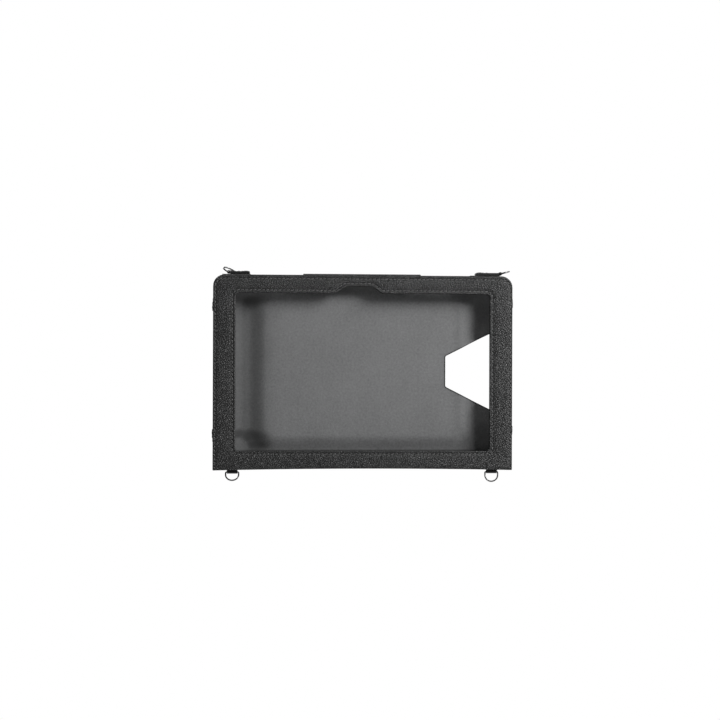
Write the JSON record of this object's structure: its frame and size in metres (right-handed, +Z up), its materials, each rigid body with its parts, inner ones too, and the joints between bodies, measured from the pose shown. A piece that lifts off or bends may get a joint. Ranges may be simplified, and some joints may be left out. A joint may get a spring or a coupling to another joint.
{
  "type": "tablet case",
  "caption": "Leather-covered tablet case with a hinged window frame, a closing strip and strap rings, for carrying and reading a prompter's tablet.",
  "frame": {"origin": "centre of the back panel's outer face", "axes": "+X to the right and +Z up as seen from the front, -Y out of the window"},
  "size_m": [0.2628, 0.0202, 0.1887],
  "materials": {
    "leather": "fine pebble grain, satin",
    "suede": "grey microsuede, matte",
    "board": "grey-brown fibreboard, matte",
    "foam": "dark closed-cell foam, matte",
    "tape": "black hook and loop tape",
    "metal": "gunmetal plating, polished",
    "thread": "dark grey bonded thread"
  },
  "bodies": {
    "front_frame": {"front_cover": "leather", "front_board": "board", "front_lining": "suede", "window_thread": "thread", "frame_edge_thread": "thread", "flap_anchor": "leather"},
    "closure": {"closure_flap": "leather", "hook_tape": "tape"},
    "case": {"back_cover": "leather", "back_board": "board", "back_foam": "foam", "back_lining": "suede", "left_side_foam": "foam", "lower_right_side_foam": "foam", "upper_right_side_foam": "foam", "upper_left_wall": "leather", "upper_left_wall_lining": "suede", "upper_right_wall": "leather", "upper_right_wall_lining": "suede", "lower_left_wall": "leather", "lower_left_wall_lining": "suede", "lower_right_wall": "leather", "lower_right_wall_lining": "suede", "top_wall": "leather", "top_wall_lining": "suede", "loop_tape": "tape", "spine": "leather", "spine_lining": "suede", "upper_left_tab_base": "leather", "upper_right_tab_base": "leather", "upper_left_tab": "leather", "upper_right_tab": "leather", "upper_left_rivet": "metal", "upper_right_rivet": "metal", "lower_left_tab": "leather", "lower_right_tab": "leather"},
    "upper_left_ring": {"upper_left_ring": "metal"},
    "upper_right_ring": {"upper_right_ring": "metal"},
    "lower_left_ring": {"lower_left_ring": "metal"},
    "lower_right_ring": {"lower_right_ring": "metal"}
  },
  "joints": [
    {"name": "frame_fold", "type": "hinge", "parent": "case", "child": "front_frame", "pos_m": [0, -0.01665, -0.08485], "axis": [1, 0, 0], "range_deg": [0, 150]},
    {"name": "flap_fold", "type": "hinge", "parent": "front_frame", "child": "closure", "pos_m": [0, -0.0166, 0.0856], "axis": [1, 0, 0], "range_deg": [0, 170]},
    {"name": "upper_left_ring_swing", "type": "hinge", "parent": "case", "child": "upper_left_ring", "pos_m": [-0.115, -0.009, 0.08737], "axis": [0.6157, 0.788, 0], "range_deg": [-32, 60]},
    {"name": "upper_right_ring_swing", "type": "hinge", "parent": "case", "child": "upper_right_ring", "pos_m": [0.1208, -0.009, 0.08737], "axis": [0, 1, 0], "range_deg": [-150, 35]},
    {"name": "lower_left_ring_swing", "type": "hinge", "parent": "case", "child": "lower_left_ring", "pos_m": [-0.114, -0.009, -0.08705], "axis": [1, 0, 0], "range_deg": [-47, 120]},
    {"name": "lower_right_ring_swing", "type": "hinge", "parent": "case", "child": "lower_right_ring", "pos_m": [0.114, -0.009, -0.08705], "axis": [1, 0, 0], "range_deg": [-85, 85]}
  ]
}
